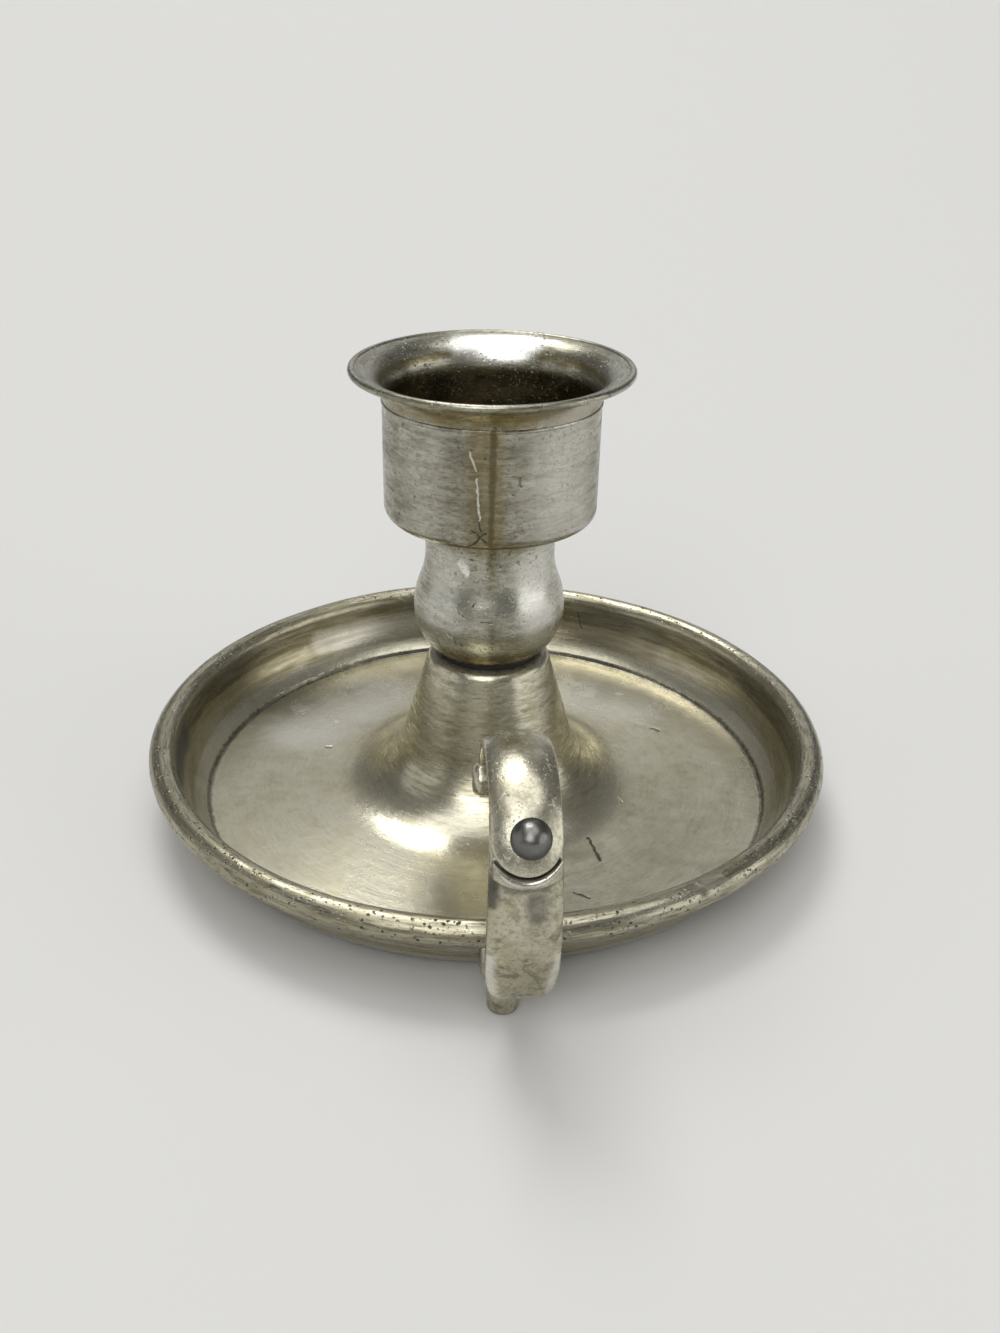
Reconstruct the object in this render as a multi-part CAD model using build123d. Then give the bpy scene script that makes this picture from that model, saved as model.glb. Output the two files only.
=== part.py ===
from build123d import *
import os
from math import asin, cos, degrees, hypot, radians, sin, sqrt

# A small pewter chamberstick. A drip pan with a trumpet-shaped stem is spun from one sheet.
# A hollow knop and a candle cup stand on the stem, and one screw draws them down on it.
# A double-scroll handle is soldered under the pan's rolled rim.
# Sizes are in millimetres. Z is the stem's axis, the table is at Z = 0, the handle points to -Y.

# Drip pan
pan_rim_radius = 40.0
pan_sheet = 0.9
rim_roll_radius = 1.5
rim_centre_height = 7.6
rim_roll_angle = 272.0
wall_inset = 3.0
floor_step = 0.5
floor_step_run = 0.35
standing_ring_width = 3.6
floor_crown = 0.5
stem_foot_radius = 11.9
stem_flare_radius = 6.5
stem_top_radius = 6.9
stem_top_height = 18.5
stem_shoulder_radius = 1.1

# Stiffening wire inside the rolled rim
wire_clearance = 0.06

# Spacer ring between stem and knop
spacer_radius = 5.8
spacer_height = 0.6

# Knop
knop_sheet = 0.8
knop_height = 16.4
knop_base_radius = 6.0
knop_belly_radius = 8.65
knop_belly_height = 5.2
knop_neck_radius = 7.3
knop_neck_height = 12.2
knop_top_radius = 7.7

# Candle cup
candle_radius = 11.1
candle_clearance = 0.3
cup_sheet = 0.45
cup_straight_height = 13.0
cup_corner_radius = 1.3
cup_flare_radius = 3.1
cup_lip_radius = 0.4
cup_bead_radius = 0.25

# Tie screw, washer and nut
screw_radius = 1.5
screw_head_radius = 3.0
screw_clearance = 0.15
screw_slot_width = 0.8
screw_slot_depth = 0.7
screw_end_length = 1.4
screw_end_chamfer = 0.35
washer_radius = 4.4
washer_thickness = 0.7
nut_across_flats = 5.5
nut_thickness = 2.4
nut_corner_cut = 0.3

# Handle
foot_strap_height = 3.05
foot_run = 6.46
strap_thickness = 1.7
lower_strap_width = 6.8
lap_strap_width = 5.9
lower_strap_flat = 3.0
lower_strap_crown = 0.45
lower_strap_edge_radius = 0.5
lower_round_height = 6.0
lower_round_lift = 0.55
upper_strap_width = 6.2
upper_strap_edge = 0.8
bend_radius = 6.7
bend_angle = 70.0
rise_radius = 27.0
rise_angle = 30.0
shoulder_radius = 7.3
shoulder_angle = 70.0
lap_angle = 47.0
crest_radius = 10.2
crest_angle = 35.0
fall_radius = 8.2
fall_angle = 57.0
curl_radius = 1.75
curl_side_rise = 0.6
curl_eye_radius = 0.6
curl_eye_depth = 1.0
tip_angle = 14.0
tip_setback = 0.45
lip_gap = 0.35
lip_width = 1.0
lip_height = 0.95
saddle_width = 6.4
saddle_height = 3.6
saddle_depth = 1.3
solder_gap = 0.05

# Thumb knob
knob_angle = 24.5
knob_radius = 1.75
knob_neck_radius = 1.25
knob_neck_height = 0.7
tenon_radius = 0.8
tenon_clearance = 0.05
tenon_head_radius = 1.4
tenon_head_height = 0.45

# Foot peg
peg_radius = 1.6
peg_edge_radius = 0.35
peg_side_shift = 1.1

overrun = 1.0

# Heights and radii that follow from the sizes above
wall_top_radius = pan_rim_radius - 2 * rim_roll_radius
crease_radius = wall_top_radius - wall_inset
crease_height = pan_sheet + floor_step
wall_drop = rim_centre_height - crease_height
wall_arc_radius = (wall_inset**2 + wall_drop**2) / (2 * wall_inset)
wall_arc_centre = wall_top_radius - wall_arc_radius
standing_radius = wall_arc_centre + sqrt((wall_arc_radius + pan_sheet) ** 2 - rim_centre_height**2)
foot_reach = standing_radius + foot_run
rim_centre_radius = pan_rim_radius - rim_roll_radius
hole_radius = screw_radius + screw_clearance
knop_base = stem_top_height + spacer_height
knop_top = knop_base + knop_height
cup_outer_radius = candle_radius + candle_clearance + cup_sheet
cup_bore_radius = candle_radius + candle_clearance
cup_floor = knop_top + cup_sheet
cup_flare_base = knop_top + cup_straight_height
head_seat_radius = screw_head_radius + screw_clearance
head_cone_height = screw_head_radius - screw_radius
stem_cap_under = stem_top_height - pan_sheet

handle_plane = Plane(origin=(0, 0, 0), x_dir=(0, -1, 0), z_dir=(-1, 0, 0))


def turned(profile):
    """Turn a profile, drawn as radius and height, about the stem's axis."""
    return revolve(Plane.XZ * profile, axis=Axis.Z)


def nearest_corner(profile, place):
    """The corner of a profile that lies nearest to a place."""
    return profile.vertices().sort_by_distance(Vector(*place, 0))[0]


def rounded(profile, place, radius):
    """Round one corner of a flat profile."""
    face = profile.face()
    return Sketch() + face.fillet_2d(radius, [nearest_corner(face, place)])


def side_arc(centre, radius, low, high, hollow=False):
    """An arc of a turned side between two heights, bulging outwards or, if hollow, inwards."""
    start = degrees(asin((low - centre[1]) / radius))
    end = degrees(asin((high - centre[1]) / radius))
    if hollow:
        return CenterArc(centre, radius, 180 - start, start - end)
    return CenterArc(centre, radius, start, end - start)


def drip_pan():
    """Spun sheet: capped trumpet stem, crowned floor, step, curved wall and rolled rim."""
    slope = (stem_foot_radius - stem_top_radius) / (stem_top_height - pan_sheet)
    side_shift = pan_sheet * hypot(1, slope)
    foot_top = (stem_foot_radius, pan_sheet + floor_crown)
    cap_corner = (stem_top_radius, stem_top_height)
    ring_inner = standing_radius - standing_ring_width
    foot_under = (stem_foot_radius + slope * pan_sheet - side_shift, floor_crown)
    cap_under = (stem_top_radius + slope * pan_sheet - side_shift, stem_cap_under)
    crease = (crease_radius, crease_height)
    wall_centre = (wall_arc_centre, rim_centre_height)
    rim_centre = (rim_centre_radius, rim_centre_height)
    upper = Polyline(
        (hole_radius, stem_top_height),
        cap_corner,
        foot_top,
        (ring_inner, pan_sheet),
        (crease_radius - floor_step_run, pan_sheet),
        crease,
    )
    wall_in = side_arc(wall_centre, wall_arc_radius, crease_height, rim_centre_height)
    roll_out = CenterArc(rim_centre, rim_roll_radius, 180, -rim_roll_angle)
    roll_in = CenterArc(rim_centre, rim_roll_radius - pan_sheet, 180, -rim_roll_angle)
    roll_end = Line(roll_out @ 1, roll_in @ 1)
    wall_out = side_arc(wall_centre, wall_arc_radius + pan_sheet, 0, rim_centre_height)
    under = Polyline(
        (standing_radius, 0),
        (ring_inner, 0),
        foot_under,
        cap_under,
        (hole_radius, stem_cap_under),
        (hole_radius, stem_top_height),
    )
    profile = make_face([upper, wall_in, roll_out, roll_end, roll_in, wall_out, under])
    profile = rounded(profile, cap_corner, stem_shoulder_radius)
    profile = rounded(profile, foot_top, stem_flare_radius)
    profile = rounded(profile, foot_under, stem_flare_radius + pan_sheet)
    return turned(profile)


def rim_wire():
    """Wire ring that the pan's edge is rolled round."""
    wire_radius = rim_roll_radius - pan_sheet - wire_clearance
    return turned(Pos(rim_centre_radius, rim_centre_height) * Circle(wire_radius))


def stem_spacer():
    """Dark ring that keeps the knop off the stem's cap."""
    ring = Circle(spacer_radius) - Circle(hole_radius)
    return Pos(0, 0, stem_top_height) * extrude(ring, amount=spacer_height)


def knop_side(inset, low, high):
    """Belly, shoulder and neck arcs of the knop, all set in by the same amount."""
    belly = knop_base + knop_belly_height
    neck = knop_base + knop_neck_height
    lower_fall = knop_belly_radius - knop_base_radius
    lower_radius = (lower_fall**2 + knop_belly_height**2) / (2 * lower_fall)
    half_fall = (knop_belly_radius - knop_neck_radius) / 2
    half_rise = (neck - belly) / 2
    waist_radius = (half_fall**2 + half_rise**2) / (2 * half_fall)
    waist = belly + half_rise
    top_flare = knop_top_radius - knop_neck_radius
    top_rise = knop_top - neck
    top_radius = (top_flare**2 + top_rise**2) / (2 * top_flare)
    turn = (waist - belly) / waist_radius
    joint = belly + (waist_radius - inset) * turn
    lower = side_arc((knop_belly_radius - lower_radius, belly), lower_radius - inset, low, belly)
    middle = side_arc((knop_belly_radius - waist_radius, belly), waist_radius - inset, belly, joint)
    hollow_centre = (knop_neck_radius + waist_radius, neck)
    upper = side_arc(hollow_centre, waist_radius + inset, joint, neck, hollow=True)
    flare_centre = (knop_neck_radius + top_radius, neck)
    flare = side_arc(flare_centre, top_radius + inset, neck, high, hollow=True)
    return [lower, middle, upper, flare]


def knop():
    """Hollow vase-shaped knop, open at the top where the cup's dimple hangs in it."""
    mouth_radius = head_seat_radius + cup_sheet
    floor_inside = knop_base + knop_sheet
    top_inside = knop_top - knop_sheet
    outside = knop_side(0, knop_base, knop_top)
    inside = knop_side(knop_sheet, floor_inside, top_inside)
    base = Polyline(
        inside[0] @ 0, (hole_radius, floor_inside), (hole_radius, knop_base), outside[0] @ 0
    )
    crown = Polyline(
        outside[-1] @ 1, (mouth_radius, knop_top), (mouth_radius, top_inside), inside[-1] @ 1
    )
    return turned(make_face([*outside, *inside, base, crown]))


def candle_cup():
    """Spun cup: dimpled floor, straight socket, bead line, flared mouth and rolled lip."""
    seat_slant = cup_sheet * sqrt(2)
    dimple_top = cup_floor - head_cone_height
    flare_centre = (cup_outer_radius + cup_flare_radius, cup_flare_base)
    floor_corner = (cup_outer_radius, knop_top)
    bore_corner = (cup_bore_radius, cup_floor)
    inner = Polyline(
        (hole_radius, dimple_top),
        (head_seat_radius, cup_floor),
        bore_corner,
        (cup_bore_radius, cup_flare_base),
    )
    flare_in = CenterArc(flare_centre, cup_flare_radius + cup_sheet, 180, -90)
    flare_out = CenterArc(flare_centre, cup_flare_radius, 180, -90)
    lip = Line(flare_in @ 1, flare_out @ 1)
    outer = Polyline(
        (cup_outer_radius, cup_flare_base),
        floor_corner,
        (head_seat_radius + seat_slant - cup_sheet, knop_top),
        (hole_radius, dimple_top - seat_slant),
        (hole_radius, dimple_top),
    )
    profile = make_face([inner, flare_in, lip, flare_out, outer])
    profile = rounded(profile, floor_corner, cup_corner_radius)
    profile = rounded(profile, bore_corner, cup_corner_radius - cup_sheet)
    lip_height_mid = cup_flare_base + cup_flare_radius + cup_sheet / 2
    profile += Pos(flare_centre[0], lip_height_mid) * Circle(cup_lip_radius)
    bead_reach = cup_outer_radius - cup_bead_radius / 2
    profile += Pos(bead_reach, cup_flare_base) * Circle(cup_bead_radius)
    return turned(profile)


def tie_screw():
    """Slotted flat-head screw from the cup's floor to the nut inside the stem."""
    nut_under = stem_cap_under - washer_thickness - nut_thickness
    screw_end = nut_under - screw_end_length
    profile = Polyline(
        (0, cup_floor),
        (screw_head_radius, cup_floor),
        (screw_radius, cup_floor - head_cone_height),
        (screw_radius, screw_end + screw_end_chamfer),
        (screw_radius - screw_end_chamfer, screw_end),
        (0, screw_end),
        close=True,
    )
    slot = Box(2 * (screw_head_radius + overrun), screw_slot_width, 2 * screw_slot_depth)
    return turned(make_face(profile)) - Pos(0, 0, cup_floor) * slot


def stem_washer():
    """Flat washer under the stem's cap."""
    ring = Circle(washer_radius) - Circle(hole_radius)
    return Pos(0, 0, stem_cap_under - washer_thickness) * extrude(ring, amount=washer_thickness)


def tie_nut():
    """Hexagon nut with its corners cut, run up under the washer."""
    base = stem_cap_under - washer_thickness - nut_thickness
    hexagon = RegularPolygon(nut_across_flats / 2, 6, major_radius=False)
    block = extrude(hexagon, amount=nut_thickness)
    corner_radius = nut_across_flats / sqrt(3)
    rim = Pos(0, 0, nut_thickness / 2) * Cylinder(corner_radius, nut_thickness)
    rim = chamfer(rim.edges().filter_by(GeomType.CIRCLE), nut_corner_cut)
    bore = Cylinder(screw_radius + tenon_clearance, 2 * nut_thickness + overrun)
    return Pos(0, 0, base) * (block & rim - bore)


def bends(start, heading, steps):
    """Tangent arcs in the handle's plane, one after the other, as edges and the last heading."""
    edges = []
    for radius, turn in steps:
        direction = (cos(radians(heading)), sin(radians(heading)))
        edges.append(JernArc(start, direction, radius, turn))
        start = edges[-1] @ 1
        heading += turn
    return edges, heading


def lap_joint():
    """Place and heading where the lower scroll passes under the upper one's tip."""
    start = (foot_reach, foot_strap_height)
    edges, heading = bends(start, 0, [(bend_radius, bend_angle), (rise_radius, rise_angle)])
    return edges[-1] @ 1, heading


def shoulder_centre():
    """Centre of the shoulder bend, which both scrolls share."""
    point, heading = lap_joint()
    inward = Vector(-sin(radians(heading)), cos(radians(heading)))
    return point + inward * shoulder_radius


def shoulder_plane(turn):
    """Plane on the shoulder's lap face, square to the face, after a turn from the tip."""
    _, heading = lap_joint()
    out = radians(heading + turn - 90)
    outward = Vector(cos(out), sin(out))
    place = shoulder_centre() + outward * shoulder_radius
    normal = handle_plane.to_local_coords(Vector(0, 0, 0))
    normal = handle_plane.from_local_coords(outward) - handle_plane.from_local_coords(normal)
    return Plane(origin=handle_plane.from_local_coords(place), x_dir=(1, 0, 0), z_dir=normal)


def swept(edges, section):
    """Sweep a strap section, drawn with its outer face up, along a path in the handle's plane."""
    path = handle_plane * Wire(edges)
    start = Plane(origin=path @ 0, x_dir=(-1, 0, 0), z_dir=path % 0)
    return sweep(start * section, path=path)


def lower_outline():
    """The lower strap seen from the front: narrowing upwards, with a full round below."""
    half = lower_strap_width / 2
    lap_half = lap_strap_width / 2
    lap_height = shoulder_centre().Y + shoulder_radius
    middle = foot_strap_height + lower_round_lift + lower_round_height
    end = EllipticalCenterArc((0, middle), half, lower_round_height, 180, arc_size=180)
    left = TangentArc(end @ 0, (-lap_half, lap_height), tangent=(0, 1))
    right = TangentArc(end @ 1, (lap_half, lap_height), tangent=(0, 1))
    outline = make_face([end, left, right, Line(left @ 1, right @ 1)])
    return Pos(0, -pan_rim_radius) * extrude(Plane.XZ * outline, amount=pan_rim_radius, both=True)


def lower_section():
    """Strap with a flat inner face, and an outer face flat in the middle that falls off sideways."""
    half = lower_strap_width / 2
    flat = lower_strap_flat / 2
    right = TangentArc((flat, 0), (half, -lower_strap_crown), tangent=(1, 0))
    left = TangentArc((-flat, 0), (-half, -lower_strap_crown), tangent=(-1, 0))
    sides = Polyline(right @ 1, (half, -strap_thickness), (-half, -strap_thickness), left @ 1)
    return make_face([Line(left @ 0, right @ 0), right, left, sides])


def lower_strap(edges):
    """Strap bent along a path, cut to the front outline, with its long edges rounded."""
    strap = swept(edges, lower_section()) & lower_outline()
    inner_end = strap.faces().sort_by(Axis.Y)[-1]
    long_edges = (strap.edges() - inner_end.edges()).filter_by(GeomType.LINE, reverse=True)
    return fillet(long_edges, lower_strap_edge_radius)


def upper_section():
    """Strap with a flat inner face on the path and a crowned outer face."""
    half = upper_strap_width / 2
    crown = ThreePointArc((half, upper_strap_edge), (0, strap_thickness), (-half, upper_strap_edge))
    sides = Polyline(crown @ 1, (-half, 0), (half, 0), crown @ 0)
    return make_face([crown, sides])


def tip_plane():
    """Plane on the lap face a little way in from the upper scroll's tip."""
    return shoulder_plane(tip_angle)


def tip_centre():
    """Centre, on the tip's plane, of the full round that ends the upper scroll."""
    tip_reach = (shoulder_radius + strap_thickness) * sin(radians(tip_angle)) - tip_setback
    return upper_strap_width / 2 - tip_reach


def tenon_hole():
    """Hole square through both scrolls for the thumb knob's tenon."""
    depth = 2 * strap_thickness + overrun
    hole = extrude(Circle(tenon_radius + tenon_clearance), amount=depth, both=True)
    return shoulder_plane(knob_angle) * hole


def peg_hole():
    """Upright hole through the lower scroll's foot for the peg's tenon."""
    hole = Cylinder(tenon_radius + tenon_clearance, 2 * (strap_thickness + overrun))
    return Pos(-peg_side_shift, -foot_reach, foot_strap_height + strap_thickness / 2) * hole


def wall_keepout():
    """Everything inside the pan's outer wall, and the solder film on it."""
    reach = wall_arc_radius + pan_sheet + solder_gap
    wall = side_arc((wall_arc_centre, rim_centre_height), reach, 0, rim_centre_height)
    block = Polyline(wall @ 1, (0, rim_centre_height), (0, 0), wall @ 0)
    return turned(make_face([wall, block]))


def saddle():
    """Pad at the foot's inner end that is soldered to the pan's wall."""
    middle = foot_strap_height + strap_thickness / 2
    outside = sqrt((wall_arc_radius + pan_sheet) ** 2 - (rim_centre_height - middle) ** 2)
    face = wall_arc_centre + outside + saddle_depth
    depth = face - standing_radius
    pad = Box(saddle_width, depth, saddle_height)
    front = pad.faces().sort_by(Axis.Y)[0]
    pad = fillet(front.edges(), strap_thickness / 3)
    return Pos(0, depth / 2 - face, middle) * pad


def tip_lip(edges):
    """Raised crescent on the lower scroll that rings the upper scroll's round tip."""
    inner = upper_strap_width / 2 + lip_gap
    ring = Circle(inner + lip_width) - Circle(inner)
    ring &= Pos(0, -inner) * Rectangle(4 * inner, 2 * inner)
    depth = shoulder_radius
    crescent = tip_plane() * Pos(0, tip_centre()) * extrude(ring, amount=depth, both=True)
    height = lip_height + strap_thickness / 2
    band = Pos(0, lip_height - height / 2) * Rectangle(lap_strap_width, height)
    return swept(edges, band) & crescent


def lower_scroll():
    """Lower half of the handle: foot, saddle, bend, rise, and the lap under the upper half."""
    start = (standing_radius, foot_strap_height)
    foot = Line(start, (foot_reach, foot_strap_height))
    steps = [(bend_radius, bend_angle), (rise_radius, rise_angle), (shoulder_radius, lap_angle)]
    edges, _ = bends(foot @ 1, 0, steps)
    strap = lower_strap([foot, *edges])
    strap = strap + tip_lip(edges[1:]) + saddle()
    return strap - wall_keepout() - tenon_hole() - peg_hole()


def curl(path_end, heading):
    """Rolled volute with domed, pitted sides that closes the upper scroll's free end."""
    half = upper_strap_width / 2
    outward = Vector(sin(radians(heading)), -cos(radians(heading)))
    centre = path_end + outward * (strap_thickness - curl_radius)
    side = ThreePointArc(
        (curl_radius, half),
        (curl_radius * sqrt(3) / 2, half + curl_side_rise / 2),
        (curl_eye_radius, half + curl_side_rise),
    )
    edge = Polyline(
        side @ 1,
        (curl_eye_radius, half + curl_side_rise - curl_eye_depth),
        (0, half + curl_side_rise - curl_eye_depth),
        (0, 0),
        (curl_radius, 0),
        side @ 0,
    )
    volute = revolve(make_face([side, edge]), axis=Axis.Y)
    volute = Rot(0, 0, -90) * (volute + mirror(volute, Plane.XZ))
    return Pos(handle_plane.from_local_coords(centre)) * volute


def upper_scroll():
    """Upper half of the handle: round tip, shoulder, crest, fall and the rolled free end."""
    point, heading = lap_joint()
    steps = [(shoulder_radius, shoulder_angle), (crest_radius, crest_angle), (fall_radius, fall_angle)]
    edges, last_heading = bends(point, heading, steps)
    strap = swept(edges, upper_section())
    half = upper_strap_width / 2
    end_zone = Pos(0, tip_centre() - shoulder_radius) * Rectangle(4 * half, 2 * shoulder_radius)
    corners = end_zone - Pos(0, tip_centre()) * Circle(half)
    strap -= tip_plane() * extrude(corners, amount=2 * strap_thickness, both=True)
    return strap + curl(edges[-1] @ 1, last_heading) - tenon_hole()


def rivet_head():
    """Low dome that the end of a tenon is beaten into, standing on its face."""
    half = tenon_head_radius
    sphere_radius = (half**2 + tenon_head_height**2) / (2 * tenon_head_height)
    ball = Pos(0, 0, tenon_head_height - sphere_radius) * Sphere(sphere_radius)
    return ball & Pos(0, 0, half) * Cylinder(half + overrun, 2 * half)


def thumb_knob():
    """Turned ball on a short neck, with a tenon riveted through both scrolls."""
    seat = strap_thickness - upper_strap_edge / 2
    ball_height = strap_thickness + knob_neck_height + knob_radius
    ball = Pos(0, 0, ball_height) * Sphere(knob_radius)
    neck_length = ball_height - seat
    neck = Pos(0, 0, seat + neck_length / 2) * Cylinder(knob_neck_radius, neck_length)
    tenon_length = ball_height + strap_thickness
    tenon = Pos(0, 0, ball_height - tenon_length / 2) * Cylinder(tenon_radius, tenon_length)
    head = Pos(0, 0, -strap_thickness) * Rot(180, 0, 0) * rivet_head()
    plane = shoulder_plane(knob_angle)
    return plane * (ball + neck + head) - upper_scroll() - lower_scroll() + plane * tenon


def foot_peg():
    """Short round foot under the handle, with a tenon riveted through the lower scroll."""
    length = foot_strap_height + strap_thickness / 2
    peg = Pos(0, 0, length / 2) * Cylinder(peg_radius, length)
    peg = fillet(peg.edges().filter_by(GeomType.CIRCLE).sort_by(Axis.Z)[0], peg_edge_radius)
    strap_top = foot_strap_height + strap_thickness
    tenon = Pos(0, 0, strap_top / 2) * Cylinder(tenon_radius, strap_top)
    head = Pos(0, 0, strap_top) * rivet_head()
    place = Pos(-peg_side_shift, -foot_reach)
    return place * (peg + head) - lower_scroll() + place * tenon


makers = [
    drip_pan,
    rim_wire,
    stem_spacer,
    knop,
    candle_cup,
    tie_screw,
    stem_washer,
    tie_nut,
    lower_scroll,
    upper_scroll,
    thumb_knob,
    foot_peg,
]

os.makedirs("parts", exist_ok=True)
for make in makers:
    export_step(make(), "parts/" + make.__name__ + ".step")
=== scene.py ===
"""A small pewter chamberstick, finished for its picture.

A spun drip pan with a trumpet stem carries a hollow knop and a candle cup, and one screw
draws them together. A strap handle in two scrolls is soldered under the pan's rolled rim.
"""

from math import acos, ceil, cos, dist, exp, hypot, pi, radians, sin, sqrt, tan

import bpy
from mathutils import Matrix, Vector, noise


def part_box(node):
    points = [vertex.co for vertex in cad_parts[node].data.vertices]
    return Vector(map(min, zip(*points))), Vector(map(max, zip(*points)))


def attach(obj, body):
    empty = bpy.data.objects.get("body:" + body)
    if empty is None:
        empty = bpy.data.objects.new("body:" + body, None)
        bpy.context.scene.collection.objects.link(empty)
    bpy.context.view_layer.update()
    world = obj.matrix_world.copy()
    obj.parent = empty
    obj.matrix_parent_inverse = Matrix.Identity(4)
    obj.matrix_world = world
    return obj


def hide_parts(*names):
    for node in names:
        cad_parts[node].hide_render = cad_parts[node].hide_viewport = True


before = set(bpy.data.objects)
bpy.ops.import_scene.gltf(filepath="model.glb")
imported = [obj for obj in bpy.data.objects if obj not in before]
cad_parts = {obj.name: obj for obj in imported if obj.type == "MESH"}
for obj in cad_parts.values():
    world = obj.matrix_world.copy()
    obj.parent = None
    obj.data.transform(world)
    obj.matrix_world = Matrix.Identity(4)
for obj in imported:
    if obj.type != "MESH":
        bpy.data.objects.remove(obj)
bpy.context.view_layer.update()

# Drip pan: one sheet of pewter spun over a form, from the capped trumpet stem down to a
# crowned floor, a small step, a curved wall and an edge rolled round a wire. Years of use have
# left it dull and cloudy, with dark freckles along the roll and a few scratches on the floor.
mm = 0.001
pan_rim_radius = 40.0
pan_sheet = 0.9
pan_hole_radius = 1.65
rim_roll_radius = 1.5
rim_roll_height = 7.6
rim_roll_end = -92.0
wall_top_radius = 37.0
wall_arc_radius = 7.9067
crease_radius = 34.0
crease_height = 1.4
crease_run = 0.35
standing_ring_radius = 29.94
floor_crown = 0.5
stem_foot_radius = 11.9
stem_flare_radius = 9.5
stem_top_radius = 6.9
stem_top_height = 18.5
stem_shoulder_radius = 1.1
crease_foot_rounding = 0.2
crease_edge_rounding = 0.22
crease_heading = (0.79, 0.61)
wall_start_angle = -51.66
wall_under_start_angle = -59.65
floor_edge_radius = 33.3
pan_wave_length = 17.0
pan_wave_seed = 3.1
rim_wave = 0.12
rim_lift = 0.1
floor_lift = 0.05
rim_wave_start = 30.0
rim_wave_run = 8.0
pan_mesh_gap = 0.55
pan_mesh_turn = 384
wave_seed = 1

# Blender takes this seed from the clock unless it is set, and the waves would change each run.
noise.seed_set(wave_seed)


def arc(centre, radius, start, end, step=6.0):
    """Points on an arc between two angles in degrees, as (radius, height)."""
    count = max(2, ceil(abs(end - start) / step))
    angles = [radians(start + (end - start) * i / count) for i in range(count + 1)]
    return [(centre[0] + radius * cos(a), centre[1] + radius * sin(a)) for a in angles]


def eased(before, corner, after, radius, count=10):
    """Points that round an outline's corner."""
    corner = Vector(corner)
    back = (Vector(before) - corner).normalized()
    ahead = (Vector(after) - corner).normalized()
    half = acos(back.dot(ahead)) / 2
    centre = corner + (back + ahead).normalized() * radius / sin(half)
    run = radius / tan(half)
    first = corner + back * run - centre
    last = corner + ahead * run - centre
    return [tuple(centre + first.slerp(last, i / count) * radius) for i in range(count + 1)]


def spaced(outline, gap):
    """The same closed outline, with points added so that none lie further apart than the gap."""
    points = []
    for here, there in zip(outline, outline[1:] + outline[:1]):
        count = max(1, ceil(dist(here, there) / gap))
        for i in range(count):
            share = i / count
            points.append([a + (b - a) * share for a, b in zip(here, there)])
    return points


def turned(name, outline, around, worn):
    """Spin a closed outline about the stem's axis, each point moved as wear has moved it."""
    verts = []
    for i in range(around):
        angle = 2 * pi * i / around
        for radius, height in outline:
            point = Vector((radius * cos(angle), radius * sin(angle), height))
            verts.append(worn(point) * mm)
    rows = len(outline)
    faces = []
    for i in range(around):
        here = i * rows
        there = (i + 1) % around * rows
        for j in range(rows):
            k = (j + 1) % rows
            faces.append((here + j, there + j, there + k, here + k))
    return solid(name, verts, faces)


def solid(name, verts, faces, crisp=34.0):
    """A smooth-shaded closed mesh whose corners sharper than the crisp angle stay sharp."""
    mesh = bpy.data.meshes.new(name)
    mesh.from_pydata(verts, [], faces)
    mesh.validate()
    volume = 0.0
    for polygon in mesh.polygons:
        corners = [mesh.vertices[i].co for i in polygon.vertices]
        for second, third in zip(corners[1:], corners[2:]):
            volume += corners[0].dot(second.cross(third))
    if volume < 0:
        mesh.flip_normals()
    mesh.shade_smooth()
    mesh.set_sharp_from_angle(angle=radians(crisp))
    piece = bpy.data.objects.new(name, mesh)
    bpy.context.scene.collection.objects.link(piece)
    return piece


def ripple(point, size, seed):
    """Smooth random push, in the sheet's own directions, whose waves have the given size."""
    place = point / size + Vector((seed, 2 * seed, 3 * seed))
    return noise.noise_vector(place)


def worn_pan(point):
    """The floor waves a little and the rim isn't quite true, but nothing sinks into the table."""
    radius = hypot(point.x, point.y)
    rim = min(1.0, max(0.0, (radius - rim_wave_start) / rim_wave_run))
    push = ripple(point, pan_wave_length, pan_wave_seed)
    push.x *= rim_wave * rim
    push.y *= rim_wave * rim
    push.z *= floor_lift + rim_lift * rim
    if point.z < floor_crown:
        push.z = max(0.0, push.z)
    return point + push


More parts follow.
